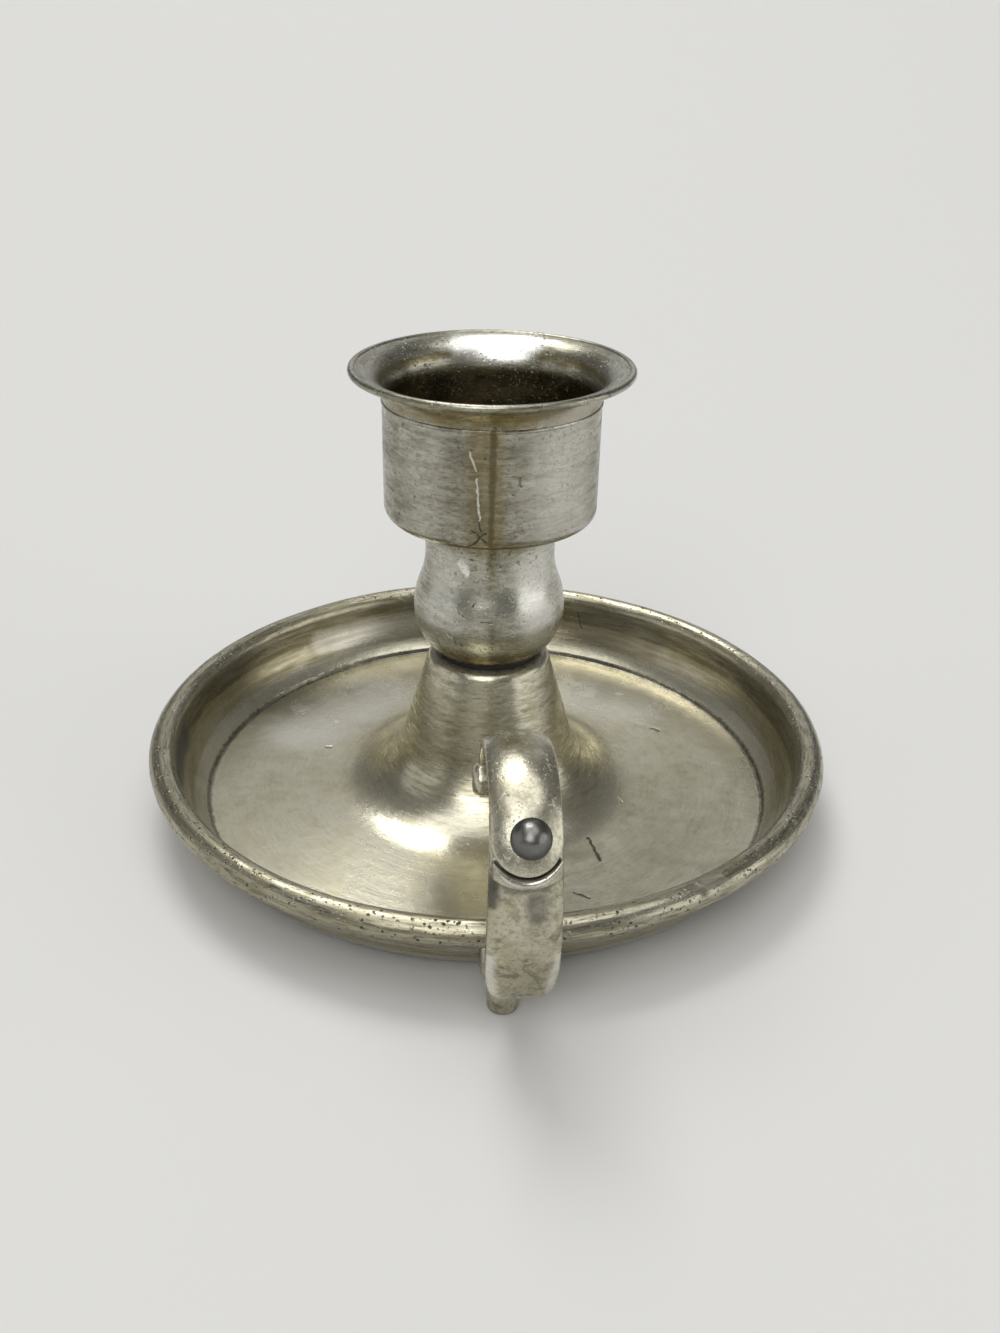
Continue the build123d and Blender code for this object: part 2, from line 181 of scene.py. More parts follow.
def drip_pan_outline():
    """Half section of the pan: over the stem, out to the roll, and back underneath."""
    slope = (stem_foot_radius - stem_top_radius) / (stem_top_height - pan_sheet)
    lean = pan_sheet * hypot(1, slope)
    wall_centre = (wall_top_radius - wall_arc_radius, rim_roll_height)
    roll_centre = (pan_rim_radius - rim_roll_radius, rim_roll_height)
    hole_top = (pan_hole_radius, stem_top_height)
    cap = (stem_top_radius, stem_top_height)
    foot = (stem_foot_radius, pan_sheet + floor_crown)
    ring = (standing_ring_radius, pan_sheet)
    ring_under = (standing_ring_radius, 0.0)
    crease_foot = (crease_radius - crease_run, pan_sheet)
    crease = (crease_radius, crease_height)
    after_crease = (crease_radius + crease_heading[0], crease_height + crease_heading[1])
    cap_under = (stem_top_radius + slope * pan_sheet - lean, stem_top_height - pan_sheet)
    foot_under = (stem_foot_radius + slope * pan_sheet - lean, floor_crown)
    flare_under_radius = stem_flare_radius + pan_sheet
    outline = [hole_top]
    outline += eased(hole_top, cap, foot, stem_shoulder_radius)
    outline += eased(cap, foot, ring, stem_flare_radius, 24)
    outline += eased(ring, crease_foot, crease, crease_foot_rounding, 5)
    outline += eased(crease_foot, crease, after_crease, crease_edge_rounding, 5)
    outline += arc(wall_centre, wall_arc_radius, wall_start_angle + 3, 0, 2.5)
    outline += arc(roll_centre, rim_roll_radius, 176, rim_roll_end, 7)
    outline += arc(roll_centre, rim_roll_radius - pan_sheet, rim_roll_end, 180, 15)
    outline += arc(wall_centre, wall_arc_radius + pan_sheet, -4, wall_under_start_angle + 3, 3)
    outline += [(floor_edge_radius, 0.0), ring_under]
    outline += eased(ring_under, foot_under, cap_under, flare_under_radius, 16)
    outline += [cap_under, (pan_hole_radius, stem_top_height - pan_sheet)]
    return outline


def node(finish, kind, feeds=None, output=0, **settings):
    """Add a node to a finish, feed its inputs from values or sockets, and give one output."""
    made = finish.node_tree.nodes.new("ShaderNode" + kind)
    for key, value in settings.items():
        setattr(made, key, value)
    for key, feed in (feeds or {}).items():
        if isinstance(feed, bpy.types.NodeSocket):
            finish.node_tree.links.new(feed, made.inputs[key])
        else:
            made.inputs[key].default_value = feed
    return made.outputs[output] if made.outputs else None


def bare_finish(name):
    """An empty finish, with the place of each spot on the piece that will wear it."""
    finish = bpy.data.materials.new(name)
    finish.use_nodes = True
    finish.node_tree.nodes.clear()
    return finish, node(finish, "TexCoord", output="Object")


def bumped(finish, relief):
    """Let a relief in metres tilt the surface."""
    return node(finish, "Bump", {"Height": relief, "Strength": 1.0, "Distance": 1.0})


def maths(finish, operation, first, second=0.0, clamp=False):
    """One sum on two values."""
    return node(finish, "Math", {0: first, 1: second}, operation=operation, use_clamp=clamp)


def ramp(finish, value, low, high, to_low=0.0, to_high=1.0):
    """Turn a value between two limits smoothly into a share."""
    feeds = {"Value": value, "From Min": low, "From Max": high, "To Min": to_low, "To Max": to_high}
    return node(finish, "MapRange", feeds, interpolation_type="SMOOTHSTEP")


def tinted(finish, share, below, above, blend="MIX"):
    """Mix two colours by a share."""
    made = finish.node_tree.nodes.new("ShaderNodeMix")
    made.data_type = "RGBA"
    made.blend_type = blend
    for socket, feed in ((0, share), (6, below), (7, above)):
        if isinstance(feed, bpy.types.NodeSocket):
            finish.node_tree.links.new(feed, made.inputs[socket])
        elif isinstance(feed, float):
            made.inputs[socket].default_value = feed
        else:
            made.inputs[socket].default_value = (*feed, 1.0)
    return made.outputs[2]


def mixed(finish, share, below, above):
    """Mix two values by a share."""
    return node(finish, "Mix", {0: share, 2: below, 3: above})


def cloud(finish, place, per_mm, detail=4.0, rough=0.6, twist=0.0):
    """Random clouds, so many to the millimetre."""
    feeds = {
        "Vector": place,
        "Scale": per_mm / mm,
        "Detail": detail,
        "Roughness": rough,
        "Distortion": twist,
    }
    return node(finish, "TexNoise", feeds)


def ring_marks(finish, place, turns, per_mm, detail=2.0):
    """Fine lines left by the lathe: each runs a way round the axis and then fades."""
    height = node(finish, "SeparateXYZ", {0: place}, 2)
    flat = node(finish, "VectorMath", {0: place, 1: (1.0, 1.0, 0.0)}, operation="MULTIPLY")
    heading = node(finish, "VectorMath", {0: flat}, operation="NORMALIZE")
    along = node(finish, "VectorMath", {0: heading, "Scale": turns}, operation="SCALE")
    rise = maths(finish, "MULTIPLY", height, per_mm / mm)
    lift = node(finish, "CombineXYZ", {2: rise})
    spot = node(finish, "VectorMath", {0: along, 1: lift}, operation="ADD")
    radius = node(finish, "VectorMath", {0: flat}, "Value", operation="LENGTH")
    out = maths(finish, "MULTIPLY", radius, per_mm / mm)
    feeds = {"Vector": spot, "W": out, "Scale": 1.0, "Detail": detail, "Roughness": 0.6}
    return node(finish, "TexNoise", feeds, noise_dimensions="4D")


def mark(finish, place, start, end, width, strength):
    """Share of a scratch or spot between two places given in millimetres, with soft edges."""
    start = Vector(start) * mm
    run = Vector(end) * mm - start
    apart = node(finish, "VectorMath", {0: place, 1: start}, operation="SUBTRACT")
    per_run = run / max(run.length_squared, 1e-12)
    share = node(finish, "VectorMath", {0: apart, 1: per_run}, "Value", operation="DOT_PRODUCT")
    share = maths(finish, "ADD", share, 0.0, clamp=True)
    back = node(finish, "VectorMath", {0: run, "Scale": share}, operation="SCALE")
    gap = node(finish, "VectorMath", {0: apart, 1: back}, operation="SUBTRACT")
    away = node(finish, "VectorMath", {0: gap}, "Value", operation="LENGTH")
    return ramp(finish, away, width * mm, width * mm * 0.3, 0.0, strength)


def marked(finish, place, marks):
    """The strongest share of several marks, or nothing where there are none."""
    share = 0.0
    for start, end, width, strength in marks:
        share = maths(finish, "MAXIMUM", share, mark(finish, place, start, end, width, strength))
    return share


def on_side(azimuth, radius, height):
    """Place on a turned side, from its azimuth in degrees, radius and height."""
    return (radius * cos(radians(azimuth)), radius * sin(radians(azimuth)), height)


clean_pewter = (0.63, 0.605, 0.485)
dull_pewter = (0.42, 0.385, 0.255)
smoky_pewter = (0.15, 0.135, 0.09)
# The rubbed colour also paints highlights, the brown also paints shade and dark reflection, and the
# darkest colour also paints shade.
rubbed_and_highlight_pewter = (0.86, 0.85, 0.80)
tarnish_and_shade_brown = (0.21, 0.16, 0.055)
grime_and_shade_colour = (0.040, 0.036, 0.027)


def pewter(
    name, dullness, lines, pits, yellow=(), dark=(), bright=(), *,
    stained_and_shaded=None, shade_and_dirt_zones=None, tones=None, polish=0.22, edge=1.0, turned_lines=True,
):
    """Old pewter: cloudy tarnish over bright metal, fine tool lines, pits, stains and scratches.

    Dullness, lines and pits run from 0 to 1. Lines and pits may also come from a function that
    gives a share for each place, as the stained and shaded zones do. Yellow stains, dark marks
    and bright marks are each a list of (start, end, width, strength), in millimetres. Some dark
    marks and zones are painted shade and painted dark reflections, some bright marks are painted
    highlights, and a painted shade darkens every hollow.
    """
    finish, place = bare_finish(name)
    shaken = node(finish, "TexNoise", {"Vector": place, "Scale": 1.6 / mm, "Detail": 3.0}, "Color")
    shaken = node(finish, "VectorMath", {0: shaken, 1: (0.5, 0.5, 0.5)}, operation="SUBTRACT")
    shaken = node(finish, "VectorMath", {0: shaken, "Scale": 0.5 * mm}, operation="SCALE")
    ragged = node(finish, "VectorMath", {0: place, 1: shaken}, operation="ADD")
    lines = lines(finish, place) if callable(lines) else lines
    pits = pits(finish, place) if callable(pits) else pits
    clean, dull = tones or (clean_pewter, dull_pewter)

    clouds = ramp(finish, cloud(finish, place, 0.14, 5.0, 0.6, 0.5), 0.36, 0.66)
    grain = cloud(finish, place, 6.0, 3.0, 0.7)
    fine_lines = ring_marks(finish, place, 5.0, 4.0, 4.0)
    bands = ring_marks(finish, place, 0.9, 0.8, 4.0)
    if turned_lines:
        round_share = ramp(finish, lines, 0.26, 0.38)
        flat_mottle = cloud(finish, place, 0.5, 6.0, 0.66)
        round_mottle = ring_marks(finish, place, 7.0, 1.6, 7.0)
        mottle = mixed(finish, round_share, flat_mottle, round_mottle)
        flat_streaks = cloud(finish, place, 0.35, 6.0, 0.7)
        round_streaks = ring_marks(finish, place, 4.0, 1.9, 8.0)
        streaks = mixed(finish, round_share, flat_streaks, round_streaks)
        freckles = ring_marks(finish, place, 18.0, 4.2, 5.0)
    else:
        mottle = cloud(finish, place, 0.8, 6.0, 0.72)
        streaks = cloud(finish, place, 0.55, 6.0, 0.75, 0.4)
        freckles = cloud(finish, place, 2.3, 4.0, 0.7)
    mottle = ramp(finish, mottle, 0.38, 0.64)

    dulled = maths(finish, "MULTIPLY", clouds, 0.55 * dullness)
    dulled = maths(finish, "ADD", dulled, maths(finish, "MULTIPLY", mottle, 0.45 * dullness))
    banding = maths(finish, "MULTIPLY", ramp(finish, bands, 0.38, 0.66), lines)
    dulled = maths(finish, "ADD", dulled, maths(finish, "MULTIPLY", banding, 0.5), clamp=True)
    colour = tinted(finish, dulled, clean, dull)
    scratched = maths(finish, "MULTIPLY", ramp(finish, fine_lines, 0.50, 0.72), lines)
    colour = tinted(finish, maths(finish, "MULTIPLY", scratched, 0.65), colour, smoky_pewter)
    streaked = ramp(finish, streaks, 0.47, 0.63)
    streaked = maths(finish, "MULTIPLY", streaked, ramp(finish, clouds, 0.0, 1.0, 0.45, 1.0))
    if turned_lines:
        streaks_kept = ramp(finish, round_share, 0.0, 1.0, 0.4, 1.0)
        streaked = maths(finish, "MULTIPLY", streaked, streaks_kept)
    smoky = maths(finish, "MULTIPLY", streaked, 0.85 * dullness)
    colour = tinted(finish, smoky, colour, smoky_pewter)
    freckles = ramp(finish, freckles, 0.50, 0.64)
    freckles = maths(finish, "MULTIPLY", freckles, maths(finish, "MULTIPLY", pits, 1.2 * dullness))
    colour = tinted(finish, freckles, colour, smoky_pewter)
    smoke = ramp(finish, cloud(finish, place, 0.3, 8.0, 0.82, 0.5), 0.52, 0.76)
    smoked = maths(finish, "ADD", maths(finish, "MULTIPLY", pits, 0.25), 0.4 * dullness)
    colour = tinted(finish, maths(finish, "MULTIPLY", smoke, smoked), colour, smoky_pewter)

    # Stains in a brown colour; in the pan's wall and the cup's bore the same brown is also painted
    # shade and painted dark reflection.
    stain_and_shade_share = marked(finish, ragged, yellow)
    if stained_and_shaded:
        stain_and_shade_share = maths(finish, "MAXIMUM", stain_and_shade_share, stained_and_shaded(finish, ragged))
    stain_and_shade_share = maths(finish, "MULTIPLY", stain_and_shade_share, ramp(finish, mottle, 0.0, 1.0, 0.7, 1.0))
    colour = tinted(finish, stain_and_shade_share, colour, tarnish_and_shade_brown)
    # Dark zones: painted shade, with dirt in the pan's crease.
    if shade_and_dirt_zones:
        shade_and_dirt_share = shade_and_dirt_zones(finish, ragged)
        shade_and_dirt_share = maths(finish, "MULTIPLY", shade_and_dirt_share, ramp(finish, mottle, 0.0, 1.0, 0.7, 1.0))
        colour = tinted(finish, shade_and_dirt_share, colour, grime_and_shade_colour)

    pit_cells = node(finish, "TexVoronoi", {"Vector": ragged, "Scale": 1.3 / mm}, "Distance")
    spots = ramp(finish, pit_cells, 0.27, 0.12)
    zone = cloud(finish, place, 0.35, 4.0, 0.7)
    open_zone = maths(finish, "ADD", zone, maths(finish, "MULTIPLY", pits, 0.27))
    spots = maths(finish, "MULTIPLY", spots, ramp(finish, open_zone, 0.68, 0.80))
    specks = ramp(finish, cloud(finish, place, 3.2, 3.0, 0.6), 0.60, 0.70)
    specks = maths(finish, "MULTIPLY", specks, ramp(finish, open_zone, 0.55, 0.78))
    spots = maths(finish, "MAXIMUM", spots, maths(finish, "MULTIPLY", specks, 0.75))
    spots = maths(finish, "MULTIPLY", spots, pits, clamp=True)
    # Dark marks: pits, scratches and spots, and painted shade and painted dark reflections where
    # the lists put them.
    scored_and_shaded = maths(finish, "MAXIMUM", spots, marked(finish, ragged, dark))
    colour = tinted(finish, scored_and_shaded, colour, grime_and_shade_colour)
    # Bright marks: rubbed metal, and painted highlights where the lists put them.
    colour = tinted(finish, marked(finish, ragged, bright), colour, rubbed_and_highlight_pewter)

    # Painted shade: ambient occlusion darkens every hollow and dulls its metal, standing in for
    # shade as well as for dirt.
    shelter = node(finish, "AmbientOcclusion", {"Distance": 2.2 * mm}, "AO", samples=6)
    hollow_shade_and_dirt = ramp(finish, shelter, 0.72, 0.30)
    hollow_shade_and_dirt = maths(finish, "MULTIPLY", hollow_shade_and_dirt, ramp(finish, mottle, 0.0, 1.0, 0.55, 0.9))
    colour = tinted(finish, hollow_shade_and_dirt, colour, grime_and_shade_colour)

    rough = maths(finish, "ADD", maths(finish, "MULTIPLY", dulled, 0.13), polish)
    rough = maths(finish, "ADD", rough, maths(finish, "MULTIPLY", streaked, 0.08))
    rough = maths(finish, "ADD", rough, maths(finish, "MULTIPLY", scored_and_shaded, 0.3))
    rough = maths(finish, "ADD", rough, maths(finish, "MULTIPLY", hollow_shade_and_dirt, 0.2), clamp=True)

    relief = maths(finish, "MULTIPLY", maths(finish, "MULTIPLY", fine_lines, lines), 0.016)
    relief = maths(finish, "ADD", relief, maths(finish, "MULTIPLY", bands, 0.02))
    relief = maths(finish, "ADD", relief, maths(finish, "MULTIPLY", grain, 0.004))
    relief = maths(finish, "ADD", relief, maths(finish, "MULTIPLY", mottle, 0.007))
    relief = maths(finish, "SUBTRACT", relief, maths(finish, "MULTIPLY", scored_and_shaded, 0.09))
    bump = bumped(finish, maths(finish, "MULTIPLY", relief, mm))

    # Where dark marks and the painted shade of hollows lie, the metal turns to a dark, dull coat.
    dirt_and_shade_share = maths(finish, "MAXIMUM", scored_and_shaded, hollow_shade_and_dirt)
    metal = maths(finish, "SUBTRACT", 1.0, maths(finish, "MULTIPLY", dirt_and_shade_share, 0.85), clamp=True)

    feeds = {"Base Color": colour, "Metallic": metal, "Roughness": rough, "Normal": bump}
    feeds["Specular Tint"] = (edge, edge, edge, 1.0)
    if turned_lines:
        feeds["Anisotropic"] = 0.5
        feeds["Anisotropic Rotation"] = 0.25
        feeds["Tangent"] = node(finish, "Tangent", direction_type="RADIAL", axis="Z")
    shader = node(finish, "BsdfPrincipled", feeds)
    node(finish, "OutputMaterial", {"Surface": shader})
    return finish


def radius_and_height(finish, place):
    """Distance from the stem's axis and height above the table, in millimetres."""
    flat = node(finish, "VectorMath", {0: place, 1: (1 / mm, 1 / mm, 0.0)}, operation="MULTIPLY")
    radius = node(finish, "VectorMath", {0: flat}, "Value", operation="LENGTH")
    height = maths(finish, "MULTIPLY", node(finish, "SeparateXYZ", {0: place}, 2), 1 / mm)
    return radius, height


def band(finish, value, low, high, soft):
    """Share that is full between two limits and fades out beyond them."""
    rise = ramp(finish, value, low - soft, low)
    return maths(finish, "MULTIPLY", rise, ramp(finish, value, high + soft, high))


def pan_lines(finish, place):
    """Tool lines are strong on the stem and faint on the floor."""
    _, height = radius_and_height(finish, place)
    return ramp(finish, height, 1.2, 7.0, 0.25, 0.9)


def pan_pits(finish, place):
    """The roll is freckled all round, and the rest of the pan only here and there."""
    radius, _ = radius_and_height(finish, place)
    return ramp(finish, radius, 36.6, 37.8, 0.2, 1.0)


def pan_wall_olive_and_dark_reflection(finish, place):
    """The wall is darkened olive all round above the ledge: olive tarnish together with a painted
    dark reflection.
    """
    radius, height = radius_and_height(finish, place)
    wall = band(finish, radius, 35.0, 36.9, 0.4)
    wall = maths(finish, "MULTIPLY", wall, band(finish, height, 2.9, 6.8, 0.5))
    return maths(finish, "MULTIPLY", wall, 0.5)


def pan_shaded_crease_and_grey_roll(finish, place):
    """Painted shade with old dirt darkens the crease, painted shade lies just under the roll, and
    the roll itself has gone grey.
    """
    radius, height = radius_and_height(finish, place)
    crease = band(finish, radius, 33.5, 33.85, 0.2)
    crease = maths(finish, "MULTIPLY", crease, band(finish, height, 0.8, 1.9, 0.1))
    under = band(finish, radius, 36.5, 37.1, 0.3)
    under = maths(finish, "MULTIPLY", under, band(finish, height, 5.4, 7.8, 0.5))
    roll = maths(finish, "MULTIPLY", ramp(finish, radius, 36.9, 37.6), 0.22)
    crease = maths(finish, "MULTIPLY", crease, 0.75)
    hollow_shade_and_dirt = maths(finish, "MAXIMUM", crease, maths(finish, "MULTIPLY", under, 0.5))
    return maths(finish, "MAXIMUM", hollow_shade_and_dirt, roll)


def finished(piece, finish):
    """Give the whole piece one finish."""
    if not piece.material_slots:
        piece.data.materials.append(finish)
    for slot in piece.material_slots:
        slot.material = finish


pan_scratches_and_shade = [
    # The first two wide marks darken the floor's sides, painted shade as well as dulling; the third
    # is a painted dark reflection high on the far right of the wall. The rest are scratches, spots
    # and stains.
    ((-23.0, -13.0, 0.9), (-29.0, 5.0, 0.9), 13.0, 0.2),
    ((22.0, -12.0, 0.9), (27.0, 6.0, 0.9), 13.0, 0.16),
    (on_side(46, 37.0, 5.5), on_side(63, 37.0, 5.5), 3.2, 0.3),
    ((13.0, -1.4, 1.5), (15.7, -7.7, 1.2), 0.22, 0.85),
    ((14.2, -4.2, 1.4), (15.7, -7.7, 1.2), 0.3, 1.0),
    ((10.7, -14.6, 1.3), (11.5, -18.8, 1.2), 0.26, 1.0),
    ((7.9, -24.4, 1.0), (9.4, -25.3, 1.0), 0.28, 0.9),
    ((22.5, 9.6, 1.0), (23.2, 9.1, 1.0), 0.5, 0.9),
    ((21.0, 10.6, 1.0), (24.0, 9.0, 1.0), 0.9, 0.3),
    ((-19.9, 6.8, 1.1), (-19.5, 6.7, 1.1), 0.45, 0.8),
    (on_side(51, 38.6, 9.0), on_side(50.4, 38.9, 8.9), 0.4, 0.8),
    (on_side(-62, 38.7, 9.0), on_side(-61, 39.4, 8.6), 0.8, 0.7),
    (on_side(-60, 38.9, 9.0), on_side(-57.5, 39.2, 8.8), 0.9, 0.5),
    (on_side(64, 36.4, 4.5), on_side(65.2, 36.9, 6.6), 0.3, 0.8),
    (on_side(176, 37.0, 5.8), on_side(190, 37.0, 5.8), 2.6, 0.85),
]
pan_painted_highlights = [
    # Painted highlights: a lighter patch high on the far left of the wall and two on the far floor.
    (on_side(104, 36.6, 4.6), on_side(126, 36.6, 4.6), 2.6, 0.3),
    ((-14.0, 21.0, 0.9), (-23.0, 12.0, 0.9), 8.0, 0.45),
    ((11.0, 22.0, 0.9), (20.0, 17.0, 0.9), 8.0, 0.4),
]
pan_stains = [
    (on_side(30, 37.0, 5.5), on_side(44, 37.0, 6.0), 2.2, 0.5),
    (on_side(118, 36.6, 5.0), on_side(150, 36.6, 5.0), 1.6, 0.35),
]
pan_outline = spaced(drip_pan_outline(), pan_mesh_gap)
drip_pan = turned("drip_pan_spun", pan_outline, pan_mesh_turn, worn_pan)
pan_finish = pewter(
    "pan_pewter", 0.6, pan_lines, pan_pits, pan_stains, pan_scratches_and_shade, pan_painted_highlights,
    stained_and_shaded=pan_wall_olive_and_dark_reflection, shade_and_dirt_zones=pan_shaded_crease_and_grey_roll, polish=0.21,
)
finished(drip_pan, pan_finish)
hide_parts("drip_pan")
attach(drip_pan, "root")

# Rim wire: drawn steel wire, closed into a ring inside the pan's rolled edge to stiffen it.
# It shows only from below, through the slit where the roll ends.


def steel(name, shade, rough):
    """Plain drawn or cut steel, gone grey, with fine marks and specks of rust."""
    finish, place = bare_finish(name)
    specks = ramp(finish, cloud(finish, place, 1.5, 5.0, 0.7), 0.42, 0.7)
    grain = cloud(finish, place, 9.0, 2.0, 0.6)
    colour = tinted(finish, specks, (shade, shade, 0.96 * shade), (0.16, 0.11, 0.07))
    roughness = maths(finish, "ADD", maths(finish, "MULTIPLY", specks, 0.3), rough)
    bump = bumped(finish, maths(finish, "MULTIPLY", grain, 0.006 * mm))
    feeds = {"Base Color": colour, "Metallic": 1.0, "Roughness": roughness, "Normal": bump}
    node(finish, "OutputMaterial", {"Surface": node(finish, "BsdfPrincipled", feeds)})
    return finish


finished(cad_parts["rim_wire"], steel("rim_wire_steel", 0.42, 0.4))

# Stem spacer: a thin black washer that lies between the stem's cap and the knop.
# It is moulded in a hard rubber and shows as a glossy dark line under the knop.
spacer_finish, spacer_place = bare_finish("spacer_black")
spacer_cloud = cloud(spacer_finish, spacer_place, 2.0, 5.0, 0.7)
spacer_colour = tinted(spacer_finish, spacer_cloud, (0.006, 0.006, 0.006), (0.02, 0.019, 0.016))
spacer_rough = ramp(spacer_finish, spacer_cloud, 0.3, 0.7, 0.28, 0.5)
spacer_relief = maths(spacer_finish, "MULTIPLY", spacer_cloud, 0.02 * mm)
spacer_bump = bumped(spacer_finish, spacer_relief)
spacer_feeds = {"Base Color": spacer_colour, "Roughness": spacer_rough, "Normal": spacer_bump}
spacer_shader = node(spacer_finish, "BsdfPrincipled", spacer_feeds)
node(spacer_finish, "OutputMaterial", {"Surface": spacer_shader})
finished(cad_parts["stem_spacer"], spacer_finish)

# Knop: a hollow pewter vase, spun and open at the top, that stands on the spacer and
# carries the cup. Painted highlights brighten it at the sides; its underside has gone yellow.
knop_sheet = 0.8
knop_base_height = 19.1
knop_top_height = 35.5
knop_base_radius = 6.0
knop_belly_radius = 8.65
knop_belly_height = 24.3
knop_neck_radius = 7.3
knop_neck_height = 31.3
knop_top_radius = 7.7
knop_mouth_radius = 3.6
knop_seat_radius = 5.6
knop_base_rounding = 0.25
knop_wave_length = 9.0
knop_wave_seed = 5.7
knop_wave = 0.07
knop_outside_steps = 48
knop_inside_steps = 40
knop_mesh_gap = 0.4
knop_mesh_turn = 256


def arc_radius(drift, rise):
    """Radius of the arc that starts upright and drifts sideways by so much as it rises."""
    return (drift**2 + rise**2) / (2 * drift)


def knop_radius(height, inset):
    """Radius of the knop's outside, or of its inside when inset by the sheet."""
    from_belly = (height - knop_belly_height) ** 2
    from_neck = (height - knop_neck_height) ** 2
    if height < knop_belly_height:
        drift = knop_belly_radius - knop_base_radius
        bend = arc_radius(drift, knop_belly_height - knop_base_height)
        return knop_belly_radius - bend + sqrt((bend - inset) ** 2 - from_belly)
    if height < knop_neck_height:
        drift = (knop_belly_radius - knop_neck_radius) / 2
        rise = (knop_neck_height - knop_belly_height) / 2
        bend = arc_radius(drift, rise)
        if height < knop_belly_height + rise:
            return knop_belly_radius - bend + sqrt((bend - inset) ** 2 - from_belly)
        return knop_neck_radius + bend - sqrt((bend + inset) ** 2 - from_neck)
    drift = knop_top_radius - knop_neck_radius
    bend = arc_radius(drift, knop_top_height - knop_neck_height)
    return knop_neck_radius + bend - sqrt((bend + inset) ** 2 - from_neck)


def knop_outline():
    """Half section of the knop: up the outside, over the mouth and down the inside."""
    rise = (knop_top_height - knop_base_height) / knop_outside_steps
    outside = [knop_base_height + rise * i for i in range(1, knop_outside_steps + 1)]
    low, high = knop_base_height + knop_sheet, knop_top_height - knop_sheet
    steps = knop_inside_steps
    inside = [high - (high - low) * i / steps for i in range(steps + 1)]
    middle = (0.0, knop_base_height)
    corner = (knop_base_radius, knop_base_height)
    above = (6.5, 19.8)
    outline = [(pan_hole_radius, knop_base_height), (knop_seat_radius, knop_base_height)]
    outline += eased(middle, corner, above, knop_base_rounding, 4)
    outline += [(knop_radius(h, 0.0), h) for h in outside]
    outline += [(knop_mouth_radius, knop_top_height), (knop_mouth_radius, high)]
    outline += [(knop_radius(h, knop_sheet), h) for h in inside]
    outline += [(pan_hole_radius, low)]
    return outline


def worn_knop(point):
    """Slightly out of round, with faint flats from handling."""
    push = ripple(point, knop_wave_length, knop_wave_seed) * knop_wave
    push.z = 0.0
    return point + push


def knop_yellowed(finish, place):
    """Both ends have yellowed."""
    _, height = radius_and_height(finish, place)
    low_end = ramp(finish, height, 22.3, 20.4)
    return maths(finish, "MAXIMUM", low_end, ramp(finish, height, 33.2, 35.2))


knop_marks = [
    (on_side(-137, 8.45, 22.5), on_side(-136, 8.3, 21.7), 0.35, 1.0),
    (on_side(-126, 8.6, 23.9), on_side(-125, 8.6, 23.7), 0.29, 1.0),
    (on_side(-121, 8.6, 23.4), on_side(-120, 8.5, 22.9), 0.38, 1.0),
    (on_side(-116, 8.5, 22.9), on_side(-115, 8.5, 22.7), 0.25, 0.8),
    (on_side(-106, 7.8, 29.5), on_side(-104, 7.9, 28.8), 0.22, 1.0),
    (on_side(-104, 7.9, 28.8), on_side(-107, 8.1, 27.6), 0.19, 1.0),
    (on_side(-99, 7.8, 29.9), on_side(-96, 7.9, 28.9), 0.16, 0.8),
    (on_side(-122, 8.2, 27.6), on_side(-117, 8.5, 26.4), 0.17, 0.8),
    (on_side(-117, 8.5, 26.4), on_side(-112, 8.5, 26.3), 0.16, 0.8),
    (on_side(-100, 8.6, 26.0), on_side(-90, 8.6, 25.8), 0.16, 0.8),
]
knop_chip_and_highlights = [
    # The first two are painted highlights on the knop's sides; the last two are a bright chip.
    (on_side(-52, 8.5, 24.5), on_side(-52, 7.6, 31.0), 4.0, 0.5),
    (on_side(-134, 8.5, 24.5), on_side(-134, 7.6, 31.0), 3.6, 0.3),
    (on_side(-120, 7.35, 32.0), on_side(-117, 7.35, 31.6), 0.75, 1.0),
    (on_side(-116, 7.35, 31.5), on_side(-115, 7.35, 30.9), 0.6, 1.0),
]
knop_stains = [
    (on_side(-150, 6.9, 20.2), on_side(-120, 6.6, 19.9), 1.8, 0.7),
    (on_side(-120, 6.8, 20.3), on_side(-88, 6.8, 20.5), 2.4, 0.9),
    (on_side(-88, 6.8, 20.5), on_side(-50, 6.8, 20.2), 2.0, 0.8),
    (on_side(-125, 7.6, 35.0), on_side(-95, 7.5, 34.4), 1.6, 0.7),
    (on_side(-95, 7.5, 34.4), on_side(-70, 7.6, 34.8), 1.7, 0.7),
    (on_side(-94, 7.35, 34.5), on_side(-94, 7.7, 29.6), 0.5, 0.8),
]
knop = turned("knop_spun", spaced(knop_outline(), knop_mesh_gap), knop_mesh_turn, worn_knop)
knop_tones = ((0.55, 0.545, 0.47), (0.29, 0.275, 0.20))
knop_finish = pewter(
    "knop_pewter", 0.5, 0.4, 0.7, knop_stains, knop_marks, knop_chip_and_highlights,
    stained_and_shaded=knop_yellowed, tones=knop_tones,
)
finished(knop, knop_finish)
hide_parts("knop")
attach(knop, "root")

# Candle cup: spun thin in pewter, with a dimpled floor for the screw, a straight socket, a
# bead line and a flared mouth with a rolled lip. A fold and a small tear mark its front.
cup_sheet = 0.45
cup_radius = 11.85
cup_floor_height = 35.95
cup_flare_height = 48.5
cup_flare_radius = 3.1
cup_corner_radius = 1.3
cup_lip_radius = 0.4
cup_bead_radius = 0.25
screw_seat_radius = 3.15
screw_cone_height = 1.5
cup_wave_length = 14.0
cup_wave_seed = 8.3
cup_wave = 0.16
cup_wave_lift = 0.4
worn_bore_radius = 10.5
worn_top_height = 48.0
fold_turn = 15.0
fold_drift = 6.0
fold_top_height = 46.6
fold_height = 7.4
fold_middle_height = 41.5
fold_half_length = 3.6
fold_ridge = 0.14
fold_ridge_width = 0.28
fold_dent = 0.10
fold_dent_side = 0.9
fold_dent_width = 0.7
bruise_turn = 0.17
bruise_height = 37.0
bruise_width = 1.1
bruise_rise = 0.9
bruise_depth = 0.16
degrees_per_radian = 57.3
